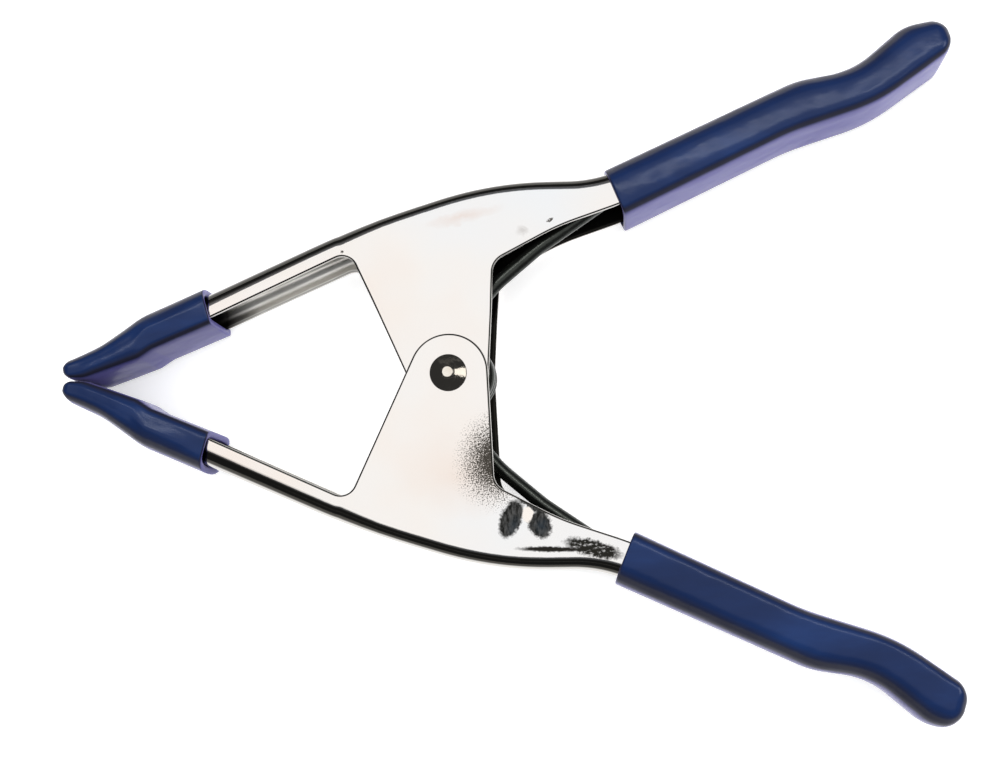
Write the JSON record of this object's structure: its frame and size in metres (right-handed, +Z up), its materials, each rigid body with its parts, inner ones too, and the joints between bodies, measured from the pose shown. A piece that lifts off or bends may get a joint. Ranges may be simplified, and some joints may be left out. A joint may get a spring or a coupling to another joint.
{
  "type": "spring clamp",
  "caption": "Steel spring clamp lying on its side: folded arms on a rivet, pressed shut at the jaws by a coil spring, with soft sleeves on jaws and handles.",
  "frame": {"origin": "on the rivet's axis, in the plane that the clamp rests on when it lies on its side", "axes": "+X towards the handles, +Y towards the upper arm, +Z up along the rivet to its domed head"},
  "size_m": [0.2239, 0.1745, 0.0268],
  "materials": {
    "plated_steel": "bright nickel plating on sheet steel",
    "blue_vinyl": "dipped soft vinyl, satin gloss",
    "rivet_steel": "bright plated steel",
    "spring_wire": "dark spring wire"
  },
  "bodies": {
    "lower_arm": {"lower_arm": "plated_steel", "lower_handle_sleeve": "blue_vinyl", "lower_jaw_sleeve": "blue_vinyl", "pivot_rivet": "rivet_steel", "torsion_spring": "spring_wire"},
    "upper_arm": {"upper_arm": "plated_steel", "upper_handle_sleeve": "blue_vinyl", "upper_jaw_sleeve": "blue_vinyl"}
  },
  "joints": [
    {"name": "pivot", "type": "hinge", "parent": "lower_arm", "child": "upper_arm", "pos_m": [0, 0, 0.013], "axis": [0, 0, -1], "range_deg": [0, 46], "stiffness_Nm_per_rad": 9, "springref_deg": -25.78, "deforming": ["torsion_spring"]}
  ]
}
